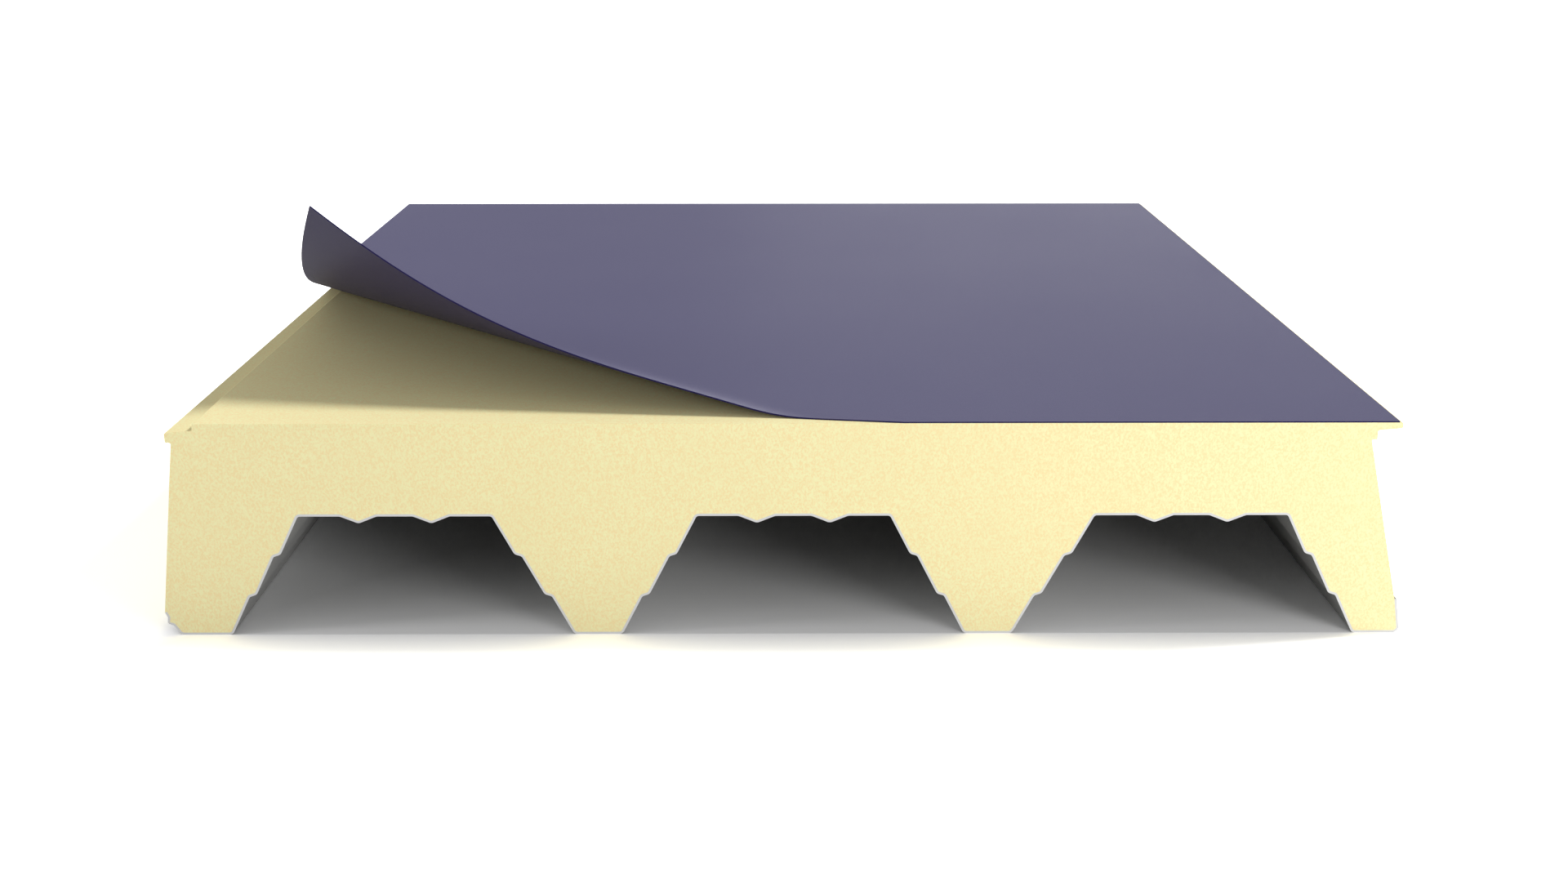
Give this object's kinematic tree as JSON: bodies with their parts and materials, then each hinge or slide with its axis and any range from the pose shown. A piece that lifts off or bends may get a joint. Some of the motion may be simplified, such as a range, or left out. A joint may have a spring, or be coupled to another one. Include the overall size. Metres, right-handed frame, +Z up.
{
  "type": "insulated roof deck panel",
  "caption": "Foam-cored roof panel: trapezoidal steel deck below with troughs, flat roofing membrane on top with one corner peeled back, lap joint along each side.",
  "frame": {"origin": "on the floor under the middle of the panel's overall box, so that the deck's bottom flanges rest on z = 0", "axes": "+X across the ribs, from the ledge side to the lip side; +Y along the ribs, away from the end with the peeled corner; +Z up, from the deck to the membrane"},
  "size_m": [1.0544, 1.018, 0.3477],
  "materials": {
    "coated_steel": "smooth pale grey coil coating",
    "rigid_foam": "matt cut foam with a fine mottled grain",
    "membrane": "satin blue-grey flexible sheet"
  },
  "bodies": {
    "root": {"steel_deck": "coated_steel", "foam_core": "rigid_foam", "roof_membrane": "membrane"}
  },
  "joints": []
}
